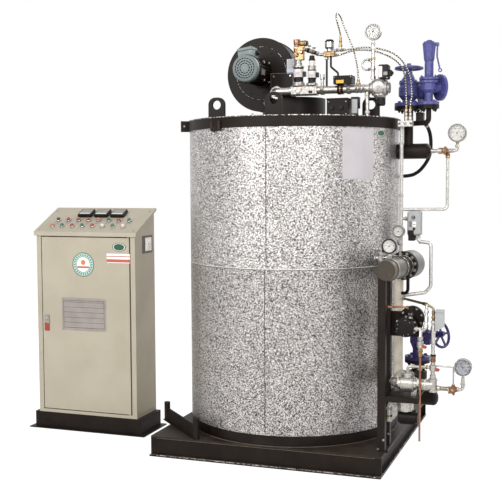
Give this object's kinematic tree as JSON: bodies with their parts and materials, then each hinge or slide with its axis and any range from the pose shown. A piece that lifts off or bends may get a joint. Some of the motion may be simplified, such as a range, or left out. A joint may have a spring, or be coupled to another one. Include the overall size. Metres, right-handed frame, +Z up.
{
  "type": "industrial boiler",
  "caption": "Vertical once-through steam boiler on a steel skid, with top burner blower, fuel train, valves, level chamber, feed piping and a free-standing control cabinet.",
  "frame": {"origin": "on the floor under the middle of the boiler shell, on the underside of the skid cross beam", "axes": "+Z up, -Y towards the front of the boiler and of the control cabinet, +X towards the valve side"},
  "size_m": [2.691, 1.41, 2.4117],
  "materials": {
    "skid": "gloss black paint on rolled steel",
    "jacket": "embossed aluminium sheet",
    "bright": "galvanised steel pipe and fittings",
    "black": "black paint",
    "violet": "blue-violet valve enamel",
    "cream": "cream paint",
    "beige": "beige powder coat",
    "grey": "grey-green machine paint",
    "brass": "plain brass",
    "gauge": "bright steel case and dial",
    "copper": "drawn copper tube",
    "hose": "braided steel hose",
    "rubber": "black rubber hose"
  },
  "bodies": {
    "boiler": {"base_ring": "skid", "blower_motor": "grey", "blower_scroll": "black", "cabinet_body": "beige", "cabinet_plinth": "skid", "chamber_gauges": "gauge", "circulating_motor": "black", "circulating_pump": "bright", "conduit": "grey", "control_panel": "beige", "copper_tubes": "copper", "corner_bracket": "skid", "deck_plate": "skid", "drain_hose": "rubber", "feed_pipe": "bright", "feed_pump": "black", "feed_valve": "violet", "front_post": "skid", "fuel_pipe": "bright", "fuel_valves": "bright", "gas_regulator": "bright", "gauge_column": "bright", "header_gauge": "gauge", "ignition_boxes": "black", "impulse_pipe": "bright", "jacket_lower": "jacket", "jacket_upper": "jacket", "level_chamber": "grey", "level_pipe": "black", "lifting_lugs": "black", "loop_hose": "hose", "lower_header": "black", "lower_sensing_hose": "hose", "pilot_regulator": "bright", "pilot_valves": "brass", "pipe_shelf": "skid", "pressure_switch": "grey", "rear_post": "skid", "safety_valve": "violet", "sample_pipes": "bright", "skid_cross_beam": "skid", "skid_front_beam": "skid", "skid_left_beam": "skid", "skid_rear_beam": "skid", "skid_right_beam": "skid", "steam_header": "black", "stop_valve": "violet", "top_band": "black", "top_gauge": "gauge", "top_plate": "jacket", "upper_sensing_hose": "hose", "water_column": "cream", "windbox": "black"},
    "door": {"cabinet_door": "beige"},
    "steam_valve_wheel": {"stop_wheel": "violet"},
    "feed_valve_wheel": {"feed_wheel": "violet"},
    "relief_lever": {"safety_lever": "violet"}
  },
  "joints": [
    {"name": "door_hinge", "type": "hinge", "parent": "boiler", "child": "door", "pos_m": [-0.945, -0.25, 0.649], "axis": [0, 0, 1], "range_deg": [0, 110]},
    {"name": "steam_wheel_turn", "type": "hinge", "parent": "boiler", "child": "steam_valve_wheel", "pos_m": [0.661, 0, 2.123], "axis": [0, 0, 1], "range_deg": [0, 1350]},
    {"name": "feed_wheel_turn", "type": "hinge", "parent": "boiler", "child": "feed_valve_wheel", "pos_m": [0.85788, -0.07643, 0.66921], "axis": [0.8407, -0.466, 0.2756], "range_deg": [0, 1350]},
    {"name": "relief_lever_lift", "type": "hinge", "parent": "boiler", "child": "relief_lever", "pos_m": [0.827, -0.076, 2.236], "axis": [0, -1, 0], "range_deg": [0, 20]}
  ]
}
